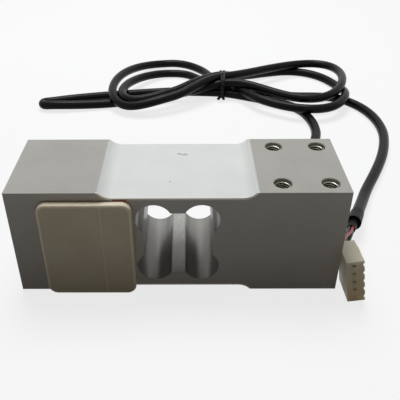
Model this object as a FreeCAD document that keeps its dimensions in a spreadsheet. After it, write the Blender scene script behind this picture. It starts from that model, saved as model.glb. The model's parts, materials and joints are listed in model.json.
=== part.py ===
"""A single point load cell: an aluminium bending beam with a four-lobed window through it, strain
gauges under sealant in the two recesses over its thin walls, a covered side pocket with a trimming
board, threaded inserts in both ends, and a cable that ends in a five-way plug.

Millimetres, +Z up, +X along the beam and +Y away from the covered side. The origin is the centre
of the mounting holes in the underside of the fixed end, on the face that the beam is bolted down by.
"""

import FreeCAD
import Part

import math
import os
import re

import Sketcher
from FreeCAD import Placement, Rotation, Vector

OUT = "parts"

# ---------------------------------------------------------------- driving dimensions

SIZES = [
    # the beam
    ("beam_length", 136.0),
    ("beam_width", 44.0),
    ("beam_height", 50.0),
    ("pad_length", 36.0),  # each end block, up to the recess between them
    ("recess_depth", 3.3),
    ("recess_radius", 8.05),  # the run-out of the recess, tangent to its floor
    # the window through the beam
    ("lobe_radius", 7.5),
    ("lobe_side", 9.6),  # from the middle of the beam to a lobe's centre, along the beam
    ("thin_wall", 2.4),  # between a lobe and the recess over it, where a gauge sits
    ("island_wall", 6.4),  # between the recess and the flat island beside the lobes
    ("window_half", 14.5),  # half the distance between the flat side walls
    # the threaded inserts
    ("pattern_inset", 16.7),  # from an end to the centre of its four holes
    ("pitch_length", 19.0),
    ("pitch_width", 30.0),
    ("hole_diameter", 7.3),
    ("hole_depth", 11.5),
    ("rim_diameter", 7.9),
    ("insert_length", 9.0),
    ("insert_inner", 5.1),
    ("insert_sink", 0.4),  # from the face down to the insert
    # the side pocket and what is in it
    ("pocket_length", 30.0),
    ("pocket_height", 22.0),
    ("pocket_depth", 12.0),
    ("pocket_corner", 3.0),
    ("pocket_shift", 1.7),  # from the cover's middle to the pocket's, towards the window
    ("board_length", 16.0),
    ("board_height", 18.0),
    ("board_thickness", 1.6),
    ("board_margin", 0.8),  # to the pocket's side wall
    ("bed_thickness", 2.0),
    ("chip_length", 2.0),
    ("chip_width", 1.2),
    ("chip_height", 0.6),
    ("chip_step", 3.2),
    # the side cover
    ("cover_length", 37.6),
    ("cover_margin", 0.4),  # from its upper edge to the floor of the top recess
    ("cover_foot", 0.4),  # from the underside of the beam to its lower edge
    ("cover_depth", 2.8),
    ("cover_wall", 1.5),
    ("cover_corner", 4.0),
    ("cover_edge", 0.8),
    ("cover_centre", 31.2),  # from the end of the beam
    ("rib_shift", 6.5),  # from the cover's middle to the raised line on it
    ("rib_width", 0.6),
    ("rib_height", 0.25),
    ("glue", 0.4),
    # the gauges and their leads
    ("sealant", 0.85),
    ("gauge_length", 9.0),
    ("gauge_width", 6.0),
    ("gauge_thickness", 0.15),
    ("terminal_length", 3.0),
    ("terminal_width", 10.0),
    ("terminal_thickness", 0.3),
    ("jumper", 0.3),
    ("ribbon_width", 5.4),
    ("ribbon_thickness", 0.25),
    ("ribbon_room", 0.1),  # to the end of the recess's floor, and to the pocket's round corner
    ("ribbon_tail", 2.2),  # the width that goes into the pocket
    # the cable's way out at the back
    ("cable", 6.0),
    ("cable_room", 0.1),  # round the cable in a bore
    ("outlet_inset", 4.2),  # from the pocket's side wall to the bore's middle
    ("seat_diameter", 10.0),
    ("seat_depth", 8.0),
    ("flange_diameter", 13.0),
    ("flange_thickness", 2.0),
    ("boot_base", 10.6),
    ("boot_tip", 7.6),
    ("boot_length", 17.0),
    ("stub_end", 1.5),  # the jacket stands out this far into the pocket
    ("core", 1.5),
    ("core_gap", 0.3),  # between two cores where they leave the jacket
    ("core_step", 2.1),  # between two cores at the board
    ("core_rise", 0.9),  # from the board to the cores that run beside it
    ("core_parting", 0.6),  # between the two planes that the cores run in
    # the hank and its tie
    ("strand_height", 12.0),  # two strands on each other
    ("tail_height", 6.6),  # one strand
    ("band_width", 7.0),
    ("waist_width", 21.0),
    ("waist_length", 22.0),
    ("waist_lift", 2.6),
    ("waist_corner", 4.0),
    ("tie_thickness", 2.2),
    ("tie_width", 5.0),
    ("tie_room", 0.1),
    ("twist_length", 5.0),
    ("twist_diameter", 4.2),
    # the plug
    ("plug_row", 19.8),
    ("plug_depth", 15.6),
    ("plug_thickness", 7.2),
    ("plug_neck", 5.0),  # the depth of the part behind the step
    ("plug_step", 0.25),
    ("plug_draft", 0.15),
    ("plug_front", 9.5),  # from the beam's covered side to its front's lower edge
    ("plug_lean", 8.9),  # degrees, its top towards the beam's end
    ("plug_tilt", 5.5),  # degrees, its top towards the back
    ("plug_room", 0.05),
    ("plug_pitch", 3.96),
    ("groove_diameter", 1.5),
    ("groove_edge", 0.4),
    ("way_side", 3.1),  # from the housing's flat side to the middle of its ways
    ("cavity_width", 2.6),
    ("cavity_height", 2.6),
    ("front_wall", 1.2),
    ("mouth_width", 1.5),
    ("mouth_height", 1.1),
    ("lock_length", 3.3),
    ("lock_height", 2.1),
    ("lock_start", 3.5),  # from the housing's face
    ("lock_lap", 0.2),  # how far a locking window reaches into its way
    ("terminal_side", 2.0),
    ("terminal_mouth", 1.2),
    ("terminal_gap", 0.1),  # from the inside of the housing's front wall
    ("crimp_diameter", 1.7),
    ("terminal_body", 7.0),
    # the cable's stripped end
    ("sleeve_diameter", 6.6),
    ("sleeve_flare", 7.4),
    ("sleeve_length", 12.0),
    ("liner_reach", 8.0),  # past the sleeve
    ("liner_diameter", 4.4),
    ("wire", 1.3),
    ("wire_ring", 1.3),  # the radius that the wires leave the liner on
    ("wire_lead", 4.0),  # a wire's straight stretch at each end
]

# The free cable from the boot's mouth to the hank, and from the hank to its stripped end: the
# corners of the route, which is straight runs joined by tangent arcs. The first point of the
# first and the last point of the second follow from the pieces that they meet.
LEAD_IN = [
    (5.4, 57.0, 25.0), (9.6, 69.5, 18.5), (20.5, 79.0, 9.5), (36.5, 82.5, 3.8), (54.5, 80.5, 3.0),
    (72.5, 75.5, 3.0), (90.0, 73.6, 3.0), (106.0, 75.8, 3.0), (120.0, 84.0, 3.0), (130.5, 97.5, 3.0),
    (136.8, 113.5, 3.0), (138.2, 127.0, 3.0), (136.8, 139.5, 3.0), (133.0, 152.0, 3.0),
]
LEAD_OUT = [
    (160.0, 173.0, 3.0), (168.5, 166.0, 3.0), (176.3, 154.5, 3.0), (180.4, 139.0, 3.0),
    (180.6, 121.0, 3.0), (176.6, 104.0, 3.0), (170.2, 87.0, 3.0), (161.2, 69.0, 3.0),
    (151.6, 51.8, 3.0), (145.0, 37.0, 4.2), (139.4, 24.6, 6.8),
]
# The hank is tied at its waist, and each loop of it starts and ends there: the loop's reach along
# its axis, its half width, the turn of its axis from +X in degrees, how far its widest part leans
# along the axis, how late it widens, how far its axis bows sideways, and its height.
TIE = (81.0, 186.5)
LOOPS = [
    (88.0, 35.0, 7.5, 0.33, 2, -12.6, "strand_height"),
    (86.0, 33.0, 6.7, 0.12, 1, -12.6, "tail_height"),
    (81.0, 44.5, 161.7, -0.04, 1, 5.4, "strand_height"),
    (66.8, 36.1, 163.5, -0.1, 2, 24.3, "strand_height"),
    (130.0, 7.0, 191.6, 0.0, 1, 0.0, "tail_height"),
]
LOOP_STEPS = 24
BAND_LAP = 0.15  # how far a flat piece of a loop runs past its ends, as a share of its width
ARC_SHARE = 0.45  # of the shorter of a corner's two runs
WAYS = 5
CHIPS = 5
HAIR = 0.01  # less than any clearance
OVERCUT = 1  # how far a cut runs past a face
LEAST_CUT = 0.001  # cubic millimetres
VOLUME_SLACK = 0.01  # as a share of the volume
PEAK_STEPS = 300

document = FreeCAD.newDocument("load_cell")
sheet = document.addObject("Spreadsheet::Sheet", "Sizes")
for row, (alias, value) in enumerate(SIZES, start=1):
    sheet.set(f"A{row}", alias)
    sheet.set(f"B{row}", str(value))
    sheet.setAlias(f"B{row}", alias)
document.recompute()

nodes = {}


def size(alias):
    """The value of one driving dimension."""
    return float(sheet.get(alias))


KNOWN = {alias for alias, _ in SIZES}


def sizes(expression):
    """An expression in which each driving dimension is named as the sheet's."""
    return re.sub("[a-z_]+", lambda word: f"Sizes.{word[0]}" if word[0] in KNOWN else word[0], expression)


def worked_out(expression):
    """The value of an expression in driving dimensions."""
    return float(sheet.evalExpression(sizes(expression)))


def bind(thing, **expressions):
    """Set properties to expressions in driving dimensions."""
    for path, expression in expressions.items():
        thing.setExpression(path.replace("__", "."), sizes(expression))
    return thing


def place(thing, at):
    """Put an object's own origin at three expressions."""
    for axis, expression in zip("xyz", at):
        thing.setExpression(f"Placement.Base.{axis}", sizes(expression))
    return thing


def node(thing, label):
    """Name a finished sub-part; its label is its file's name."""
    thing.Label = label
    nodes[label] = thing
    return thing


# Places and sizes that several pieces share.
MIDDLE = "beam_length / 2 - pattern_inset"
LEFT_END = "0 - pattern_inset"
FRONT = "0 - beam_width / 2"
HALF_UP = "beam_height / 2"
COVER_X = "cover_centre - pattern_inset"
POCKET_X = f"{COVER_X} + pocket_shift"
POCKET_LEFT = f"{POCKET_X} - pocket_length / 2"
OUTLET_X = f"{POCKET_LEFT} + outlet_inset"
POCKET_FLOOR = f"{FRONT} + pocket_depth"
COVER_HEIGHT = "beam_height - recess_depth - cover_margin - cover_foot"
COVER_Z = f"cover_foot + ( {COVER_HEIGHT} ) / 2"
THROUGH = f"beam_width + 2 * {OVERCUT}"  # longer than the beam is wide

# ---------------------------------------------------------------- building blocks


def box(name, at, lengths):
    thing = document.addObject("Part::Box", name)
    bind(thing, Length=lengths[0], Width=lengths[1], Height=lengths[2])
    return place(thing, at)


AXES = {"X": Rotation(Vector(0, 1, 0), 90), "Y": Rotation(Vector(1, 0, 0), -90), "Z": Rotation()}


def cylinder(name, at, diameter, length, axis="Z"):
    thing = document.addObject("Part::Cylinder", name)
    bind(thing, Radius=f"( {diameter} ) / 2", Height=length)
    thing.Placement = Placement(Vector(), AXES[axis])
    return place(thing, at)


def cut(name, base, tools):
    """The base without the tools."""
    tool = tools[0]
    if len(tools) > 1:
        tool = document.addObject("Part::MultiFuse", f"{name}_tools")
        tool.Shapes = tools
    thing = document.addObject("Part::Cut", name)
    thing.Base = base
    thing.Tool = tool
    return thing


def fuse(name, shapes):
    thing = document.addObject("Part::MultiFuse", name)
    thing.Shapes = shapes
    thing.Refine = True
    return thing


def group(name, shapes):
    thing = document.addObject("Part::Compound", name)
    thing.Links = shapes
    return thing


def body(label, at):
    """A PartDesign body whose own origin is at three expressions."""
    return node(place(document.addObject("PartDesign::Body", label), at), label)


def sketch(owner, name, role, offset="0"):
    """A sketch on one of the body's own origin planes, moved along the plane's normal."""
    plane = next(item for item in owner.Origin.OriginFeatures if item.Role == role)
    drawing = owner.newObject("Sketcher::SketchObject", name)
    drawing.AttachmentSupport = [(plane, "")]
    drawing.MapMode = "FlatFace"
    drawing.setExpression("AttachmentOffset.Base.z", sizes(offset))
    return drawing


def hold(drawing, kind, places, expression):
    """One driving constraint of a sketch, bound to an expression."""
    number = drawing.addConstraint(Sketcher.Constraint(kind, *places, worked_out(expression)))
    drawing.renameConstraint(number, f"held_{number}")
    drawing.setExpression(f".Constraints.held_{number}", sizes(expression))


def circle(drawing, x, y, diameter):
    spot = Vector(worked_out(x), worked_out(y), 0)
    ring = Part.Circle(spot, Vector(0, 0, 1), worked_out(diameter) / 2)
    number = drawing.addGeometry(ring)
    hold(drawing, "DistanceX", (-1, 1, number, 3), x)
    hold(drawing, "DistanceY", (-1, 1, number, 3), y)
    hold(drawing, "Diameter", (number,), diameter)


def outline(drawing, points):
    """A closed outline through points given as expressions, each held to the sketch's origin."""
    spots = [Vector(worked_out(x), worked_out(y), 0) for x, y in points]
    count = len(spots)
    first = drawing.GeometryCount
    for number, spot in enumerate(spots):
        drawing.addGeometry(Part.LineSegment(spot, spots[(number + 1) % count]))
    for number in range(count):
        following = first + (number + 1) % count
        drawing.addConstraint(Sketcher.Constraint("Coincident", first + number, 2, following, 1))
    for number, (x, y) in enumerate(points):
        hold(drawing, "DistanceX", (-1, 1, first + number, 1), x)
        hold(drawing, "DistanceY", (-1, 1, first + number, 1), y)


def oblong(drawing, x, y, length, width):
    """A rectangle about a point."""
    low_x, high_x = f"{x} - ( {length} ) / 2", f"{x} + ( {length} ) / 2"
    low_y, high_y = f"{y} - ( {width} ) / 2", f"{y} + ( {width} ) / 2"
    outline(drawing, [(low_x, low_y), (high_x, low_y), (high_x, high_y), (low_x, high_y)])


def rounded(drawing, x, y, length, width, corner):
    """A rectangle about a point with round corners: four lines and four tangent quarter arcs."""
    half_x, half_y = worked_out(length) / 2, worked_out(width) / 2
    round_by, middle = worked_out(corner), Vector(worked_out(x), worked_out(y), 0)
    first = drawing.GeometryCount
    turns = [(1, 1, 0), (-1, 1, 90), (-1, -1, 180), (1, -1, 270)]
    for side_x, side_y, start in turns:
        centre = middle + Vector(side_x * (half_x - round_by), side_y * (half_y - round_by), 0)
        ring = Part.Circle(centre, Vector(0, 0, 1), round_by)
        drawing.addGeometry(Part.ArcOfCircle(ring, math.radians(start), math.radians(start + 90)))
    for number in range(4):
        here = drawing.Geometry[first + number].EndPoint
        there = drawing.Geometry[first + (number + 1) % 4].StartPoint
        drawing.addGeometry(Part.LineSegment(here, there))
    for number in range(4):
        line, following = first + 4 + number, first + (number + 1) % 4
        drawing.addConstraint(Sketcher.Constraint("Tangent", first + number, 2, line, 1))
        drawing.addConstraint(Sketcher.Constraint("Tangent", line, 2, following, 1))
        direction = "Horizontal" if number % 2 == 0 else "Vertical"
        drawing.addConstraint(Sketcher.Constraint(direction, line))
    for number in range(1, 4):
        drawing.addConstraint(Sketcher.Constraint("Equal", first, first + number))
    hold(drawing, "Radius", (first,), corner)
    hold(drawing, "DistanceX", (-1, 1, first, 1), f"{x} + ( {length} ) / 2")
    hold(drawing, "DistanceX", (-1, 1, first + 1, 2), f"{x} - ( {length} ) / 2")
    hold(drawing, "DistanceY", (-1, 1, first, 2), f"{y} + ( {width} ) / 2")
    hold(drawing, "DistanceY", (-1, 1, first + 3, 1), f"{y} - ( {width} ) / 2")


def pad(owner, name, drawing, length, backwards=False, symmetric=False):
    thing = owner.newObject("PartDesign::Pad", name)
    thing.Profile = drawing
    bind(thing, Length=length)
    thing.Reversed = backwards
    thing.Midplane = symmetric
    drawing.Visibility = False
    return thing


def pocket(owner, name, drawing, length, backwards=False, symmetric=False):
    """A cut that has to take something away."""
    document.recompute()
    before = owner.Shape.Volume
    thing = owner.newObject("PartDesign::Pocket", name)
    thing.Profile = drawing
    bind(thing, Length=length)
    thing.Reversed = backwards
    thing.Midplane = symmetric
    document.recompute()
    if not owner.Shape.Volume < before - LEAST_CUT:
        raise ValueError(f"{name} cuts nothing")
    return thing


def edges_where(shape, test):
    """The names of the edges whose every point passes a test."""
    names = []
    for number, edge in enumerate(shape.Edges, start=1):
        spots = edge.discretize(5)
        if all(test(spot) for spot in spots):
            names.append(f"Edge{number}")
    return names


def dress(owner, kind, name, base, names, size_name, value):
    """A fillet or chamfer on named edges of a feature."""
    thing = owner.newObject(f"PartDesign::{kind}", name)
    thing.Base = (base, names)
    bind(thing, **{size_name: value})
    return thing


# ---------------------------------------------------------------- the beam


RECESS_HALF = "beam_length / 2 - pad_length"
RUN_OUT = "sqrt(recess_radius ^ 2 - ( recess_radius - recess_depth ) ^ 2)"
LOBE_RISE = "beam_height / 2 - recess_depth - thin_wall - lobe_radius"


def recess_outline(drawing, floor, top, sign, radius, half_length=RECESS_HALF):
    """A shallow recess seen from the side: a floor, and an arc at each end, tangent to the floor.

    floor and top are heights as expressions, and sign is 1 where the recess opens upwards.
    """
    low, high, round_by = worked_out(floor), worked_out(top), worked_out(radius)
    half = worked_out(half_length)
    rise = abs(high - low)
    run = math.sqrt(round_by**2 - (round_by - rise) ** 2)
    inner, height = half - run, low + sign * round_by
    floor_line = drawing.addGeometry(
        Part.LineSegment(Vector(-inner, low, 0), Vector(inner, low, 0))
    )
    arcs = []
    for side in (1, -1):
        ring = Part.Circle(Vector(side * inner, height, 0), Vector(0, 0, 1), round_by)
        foot = -90 * sign
        tip = math.degrees(math.atan2(high - height, side * run))
        if side * sign > 0:
            arc = Part.ArcOfCircle(ring, math.radians(foot), math.radians(tip))
        else:
            arc = Part.ArcOfCircle(ring, math.radians(tip), math.radians(foot))
        arcs.append(drawing.addGeometry(arc))
    foot_end, tip_end = (1, 2) if sign > 0 else (2, 1)
    right, left = arcs
    top_line = drawing.addGeometry(Part.LineSegment(Vector(half, high, 0), Vector(-half, high, 0)))
    drawing.addConstraint(Sketcher.Constraint("Tangent", floor_line, 2, right, foot_end))
    drawing.addConstraint(Sketcher.Constraint("Tangent", floor_line, 1, left, tip_end))
    drawing.addConstraint(Sketcher.Constraint("Coincident", right, tip_end, top_line, 1))
    drawing.addConstraint(Sketcher.Constraint("Coincident", left, foot_end, top_line, 2))
    drawing.addConstraint(Sketcher.Constraint("Horizontal", floor_line))
    drawing.addConstraint(Sketcher.Constraint("Equal", right, left))
    hold(drawing, "Radius", (right,), radius)
    hold(drawing, "DistanceX", (-1, 1, top_line, 1), half_length)
    hold(drawing, "DistanceX", (-1, 1, top_line, 2), f"0 - ( {half_length} )")
    hold(drawing, "DistanceY", (-1, 1, top_line, 1), top)
    hold(drawing, "DistanceY", (-1, 1, floor_line, 1), floor)


def hole_centres(fixed_end):
    """The four hole centres of one end, as expressions from the beam's middle."""
    side = "-1" if fixed_end else "1"
    centre = f"{side} * ( beam_length / 2 - pattern_inset )"
    return [
        (f"{centre} + {along} * pitch_length / 2", f"{across} * pitch_width / 2")
        for along in (-1, 1)
        for across in (-1, 1)
    ]


def beam():
    """The beam, about its own middle: the block, its recesses and window, and the bores."""
    part = body("beam_body", (MIDDLE, "0", "0"))
    side = sketch(part, "BeamSide", "XZ_Plane")
    oblong(side, "0", HALF_UP, "beam_length", "beam_height")
    pad(part, "Block", side, "beam_width", symmetric=True)
    for name, floor, top, sign in (
        ("TopRecess", "beam_height - recess_depth", "beam_height", 1),
        ("BottomRecess", "recess_depth", "0", -1),
    ):
        drawing = sketch(part, f"{name}Side", "XZ_Plane")
        recess_outline(drawing, floor, top, sign, "recess_radius")
        pocket(part, name, drawing, THROUGH, symmetric=True)
    window(part)
    for name, fixed_end in (("LoadHoles", False), ("FixedHoles", True)):
        threaded_holes(part, name, fixed_end)
    side_pocket(part)
    return part


def window(part):
    """The window through the beam: four lobes joined by a middle that leaves two islands."""
    lobes = sketch(part, "Lobes", "XZ_Plane")
    for along in (-1, 1):
        for up in (-1, 1):
            rise = f"{HALF_UP} + {up} * ( {LOBE_RISE} )"
            circle(lobes, f"{along} * lobe_side", rise, "2 * lobe_radius")
    pocket(part, "LobeBores", lobes, THROUGH, symmetric=True)
    wide = sketch(part, "SideWalls", "XZ_Plane")
    oblong(wide, "0", HALF_UP, "2 * window_half", f"2 * ( {LOBE_RISE} ) - lobe_radius")
    pocket(part, "WindowMiddle", wide, THROUGH, symmetric=True)
    tall = sketch(part, "Islands", "XZ_Plane")
    oblong(tall, "0", HALF_UP, "2 * lobe_side", "beam_height - 2 * ( recess_depth + island_wall )")
    pocket(part, "WindowHeight", tall, THROUGH, symmetric=True)


def threaded_holes(part, name, fixed_end):
    """Four blind holes with a countersunk rim: in the top at the load end, and in the underside
    at the fixed end."""
    face = "0" if fixed_end else "beam_height"
    level = worked_out(face)
    deep = sketch(part, f"{name}Centres", "XY_Plane", face)
    for x, y in hole_centres(fixed_end):
        circle(deep, x, y, "hole_diameter")
    holes = pocket(part, name, deep, "hole_depth", backwards=fixed_end)
    spots = [(worked_out(x), worked_out(y)) for x, y in hole_centres(fixed_end)]
    reach = worked_out("hole_diameter / 2") + HAIR

    def on_rim(spot):
        near = min(math.hypot(spot.x - x, spot.y - y) for x, y in spots)
        return abs(spot.z - level) < HAIR and near < reach

    rims = edges_where(holes.Shape, on_rim)
    width = "( rim_diameter - hole_diameter ) / 2"
    dress(part, "Chamfer", f"{name}Rims", holes, rims, "Size", width)


def side_pocket(part):
    """The pocket for the board in the covered side, and the cable's bore from it to the back."""
    shift = "cover_centre - beam_length / 2"
    mouth = sketch(part, "PocketMouth", "XZ_Plane", "beam_width / 2")
    corner = "pocket_corner"
    rounded(mouth, f"{shift} + pocket_shift", HALF_UP, "pocket_length", "pocket_height", corner)
    pocket(part, "BoardPocket", mouth, "pocket_depth")
    outlet = f"{shift} + pocket_shift - pocket_length / 2 + outlet_inset"
    bore = sketch(part, "OutletBore", "XZ_Plane", "0 - beam_width / 2")
    circle(bore, outlet, HALF_UP, "cable + cable_room")
    pocket(part, "CableBore", bore, f"beam_width - pocket_depth + {OVERCUT}", backwards=True)
    seat = sketch(part, "OutletSeat", "XZ_Plane", "0 - beam_width / 2")
    circle(seat, outlet, HALF_UP, "seat_diameter")
    pocket(part, "BootSeat", seat, "seat_depth", backwards=True)


def inserts():
    """Eight thread inserts, each a short steel tube seated in its hole below the rim."""
    for end, fixed_end in (("load", False), ("fixed", True)):
        for number, (x, y) in enumerate(hole_centres(fixed_end), start=1):
            low = "insert_sink"
            if not fixed_end:
                low = "beam_height - insert_sink - insert_length"
            name = f"{end}_insert_{number}"
            at = (f"{MIDDLE} + {x}", y, low)
            outer = cylinder(f"{name}_outside", at, "hole_diameter", "insert_length")
            inner = cylinder(f"{name}_thread", at, "insert_inner", "insert_length")
            node(cut(f"{name}_tube", outer, [inner]), name)


# ---------------------------------------------------------------- the gauges and their sealant

LEVELS = {"top": ("beam_height - recess_depth", 1), "bottom": ("recess_depth", -1)}
RIBBON_X = f"{MIDDLE} - ( {RECESS_HALF} - {RUN_OUT} ) + ribbon_room"
TAIL_X = f"{POCKET_LEFT} + pocket_length - pocket_corner - ribbon_room - ribbon_tail"
DROP_X = f"min({RIBBON_X}; {TAIL_X})"
DROP_WIDTH = f"max({RIBBON_X} + ribbon_width; {TAIL_X} + ribbon_tail) - {DROP_X}"
TERMINAL_X = f"{RIBBON_X} + ribbon_width"
BOARD_X = f"{POCKET_LEFT} + pocket_length - board_margin - board_length"
BOARD_FACE = f"{POCKET_FLOOR} - bed_thickness - board_thickness"


def layer(name, x, y, length, width, side, thickness, lift="0"):
    """A flat box on the floor of the top or bottom recess, on the side away from the beam."""
    floor, sign = LEVELS[side]
    low = f"{floor} + {lift}" if sign > 0 else f"{floor} - ( {lift} ) - ( {thickness} )"
    return box(name, (x, y, low), (length, width, thickness))


def gauges(side):
    """Two foil gauges over the two thin walls of one recess."""
    pieces = []
    for where, sign in (("left", -1), ("right", 1)):
        x = f"{MIDDLE} + {sign} * lobe_side - gauge_length / 2"
        y = "0 - gauge_width / 2"
        name = f"gauge_{side}_{where}"
        foil = layer(name, x, y, "gauge_length", "gauge_width", side, "gauge_thickness")
        pieces.append(node(foil, name))
    return pieces


def jumpers(side):
    """Four fine wires from the terminal strip: two straight to the near gauge and two round it."""
    start = f"{TERMINAL_X} + terminal_length"
    near = f"{MIDDLE} - lobe_side - gauge_length / 2 - ( {start} )"
    far = f"{MIDDLE} + lobe_side - gauge_length / 2 + gauge_length / 8 - ( {start} )"
    wires = []
    for number, sign in enumerate((-1, 1)):
        name = f"jumper_{side}_{number}"
        y = f"{sign} * gauge_width / 4 - jumper / 2"
        wires.append(layer(f"{name}_near", start, y, near, "jumper", side, "jumper"))
        edge = "gauge_width / 2"
        outside = "( gauge_width + terminal_width ) / 4 - jumper / 2"
        y = outside if sign > 0 else f"0 - ( {outside} ) - jumper"
        along = layer(f"{name}_along", start, y, far, "jumper", side, "jumper")
        cross_x = f"{start} + {far} - jumper"
        y = edge if sign > 0 else f"0 - ( {outside} )"
        across = layer(f"{name}_across", cross_x, y, "jumper", f"{outside} - {edge}", side, "jumper")
        wires.append(fuse(f"{name}_far", [along, across]))
    return node(group(f"jumpers_{side}", wires), f"jumper_wires_{side}")


def ribbon(side):
    """The flexible strip from the terminals, over the edge, down the covered side to the board."""
    floor, sign = LEVELS[side]
    thick = "ribbon_thickness"
    mouth = f"{HALF_UP} + {sign} * pocket_height / 2"
    run = f"terminal_width / 2 - ( {FRONT} ) + {thick}"
    flat = layer(f"ribbon_{side}_flat", RIBBON_X, f"{FRONT} - {thick}", "ribbon_width", run, side, thick)
    drop = f"{floor} - ( {mouth} )" if sign > 0 else f"{mouth} - ( {floor} )"
    low = f"{mouth} - {thick}" if sign > 0 else floor
    down = box(f"ribbon_{side}_down", (DROP_X, f"{FRONT} - {thick}", low),
               (DROP_WIDTH, thick, f"{drop} + {thick}"))
    inward = box(f"ribbon_{side}_tail",
                 (TAIL_X, f"{FRONT} - {thick}", f"{mouth} - {thick}" if sign > 0 else mouth),
                 ("ribbon_tail", f"{BOARD_FACE} - ( {FRONT} ) + {thick}", thick))
    reach = "( pocket_height - board_height ) / 2 + board_margin"
    tab = box(f"ribbon_{side}_tab",
              (TAIL_X, f"{BOARD_FACE} - {thick}", f"{mouth} - ( {reach} )" if sign > 0 else mouth),
              ("ribbon_tail", thick, reach))
    return node(fuse(f"ribbon_{side}", [flat, down, inward, tab]), f"flex_ribbon_{side}")


def sealant(side, buried):
    """The silicone over one recess: the recess's own floor and ends, filled to an even depth,
    with the buried pieces cut out."""
    floor, sign = LEVELS[side]
    face = "beam_height" if sign > 0 else "0"
    owner = place(document.addObject("PartDesign::Body", f"{side}_silicone"), (MIDDLE, "0", "0"))
    whole = sketch(owner, f"{side}_recess", "XZ_Plane")
    recess_outline(whole, floor, face, sign, "recess_radius")
    pad(owner, f"{side}_fill", whole, "beam_width", symmetric=True)
    inner = "recess_radius - sealant"
    high = "recess_radius - recess_depth"
    shorter = f"{RECESS_HALF} - {RUN_OUT} + sqrt(( {inner} ) ^ 2 - ( {high} ) ^ 2)"
    hollow = sketch(owner, f"{side}_hollow", "XZ_Plane")
    recess_outline(hollow, f"{floor} + {sign} * sealant", face, sign, inner, shorter)
    pocket(owner, f"{side}_dip", hollow, THROUGH, symmetric=True)
    return node(cut(f"{side}_sealant_cut", owner, buried), f"{side}_sealant")


def gauge_side(side):
    pieces = gauges(side)
    strip = layer(f"terminals_{side}", TERMINAL_X, "0 - terminal_width / 2", "terminal_length",
                  "terminal_width", side, "terminal_thickness")
    pieces.append(node(strip, f"terminal_strip_{side}"))
    pieces.append(jumpers(side))
    pieces.append(ribbon(side))
    sealant(side, pieces)


# ---------------------------------------------------------------- the pocket and its cover


def board():
    """The trimming board on its soft bed against the pocket's floor, with five chip resistors."""
    low = f"{HALF_UP} - board_height / 2"
    bed_y = f"{POCKET_FLOOR} - bed_thickness"
    node(box("bed", (BOARD_X, bed_y, low), ("board_length", "bed_thickness", "board_height")), "board_bed")
    plate = ("board_length", "board_thickness", "board_height")
    node(box("board", (BOARD_X, BOARD_FACE, low), plate), "trimming_board")
    chips = []
    for number in range(CHIPS):
        at = (f"{BOARD_X} + board_length / 2", f"{BOARD_FACE} - chip_height",
              f"{HALF_UP} + {number - CHIPS // 2} * chip_step - chip_width / 2")
        chips.append(box(f"chip_{number}", at, ("chip_length", "chip_height", "chip_width")))
    node(group("chips", chips), "trim_resistors")


def cover_inside(drawing):
    """The inner outline of the cover's rim."""
    rounded(drawing, "0", "0", "cover_length - 2 * cover_wall", f"{COVER_HEIGHT} - 2 * cover_wall",
            "cover_corner - cover_wall")


def side_cover():
    """The moulded cap over the pocket: a tray with a rounded front, and a thin line down it."""
    part = body("side_cover", (COVER_X, f"{FRONT} - glue", COVER_Z))
    face = sketch(part, "CoverOutline", "XZ_Plane")
    rounded(face, "0", "0", "cover_length", COVER_HEIGHT, "cover_corner")
    pad(part, "CoverBlock", face, "cover_depth")
    document.recompute()
    front = -worked_out("cover_depth")
    names = edges_where(part.Tip.Shape, lambda spot: abs(spot.y - front) < HAIR)
    dress(part, "Fillet", "CoverEdge", part.Tip, names, "Radius", "cover_edge")
    inside = sketch(part, "CoverInside", "XZ_Plane")
    cover_inside(inside)
    pocket(part, "CoverHollow", inside, "cover_depth - cover_wall", backwards=True)
    line = sketch(part, "CoverLine", "XZ_Plane", "cover_depth")
    oblong(line, "rib_shift", "0", "rib_width", f"{COVER_HEIGHT} - 2 * cover_edge")
    pad(part, "CoverRib", line, "rib_height")


def adhesive():
    """The bead that bonds the cover's rim to the beam, thinner where a ribbon passes under it."""
    part = body("cover_adhesive", (COVER_X, FRONT, COVER_Z))
    ring = sketch(part, "Bead", "XZ_Plane")
    rounded(ring, "0", "0", "cover_length", COVER_HEIGHT, "cover_corner")
    cover_inside(ring)
    pad(part, "BeadDepth", ring, "glue")
    gap = sketch(part, "RibbonWay", "XZ_Plane")
    middle = f"{DROP_X} + ( {DROP_WIDTH} ) / 2 - ( {COVER_X} )"
    upper_half = f"( {COVER_HEIGHT} ) / 2 + glue"
    oblong(gap, middle, f"( {upper_half} ) / 2", DROP_WIDTH, upper_half)
    pocket(part, "RibbonRoom", gap, "ribbon_thickness", backwards=True)


# ---------------------------------------------------------------- the cable


def route(corners):
    """Straight runs joined by tangent arcs, as large as the two runs at each corner allow."""
    edges, radii, here = [], [], corners[0]
    for before, corner, after in zip(corners, corners[1:], corners[2:]):
        arriving, leaving = corner - before, after - corner
        shorter = min(arriving.Length, leaving.Length)
        arriving.normalize()
        leaving.normalize()
        half_turn = math.acos(max(-1.0, min(1.0, arriving.dot(leaving)))) / 2
        back = ARC_SHARE * shorter
        radius = back / math.tan(half_turn)
        inward = (leaving - arriving).normalize()
        start, end = corner - arriving * back, corner + leaving * back
        middle = corner + inward * (radius / math.cos(half_turn) - radius)
        edges.append(Part.LineSegment(here, start).toShape())
        edges.append(Part.Arc(start, middle, end).toShape())
        radii.append(radius)
        here = end
    edges.append(Part.LineSegment(here, corners[-1]).toShape())
    return Part.Wire(edges), radii


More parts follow.
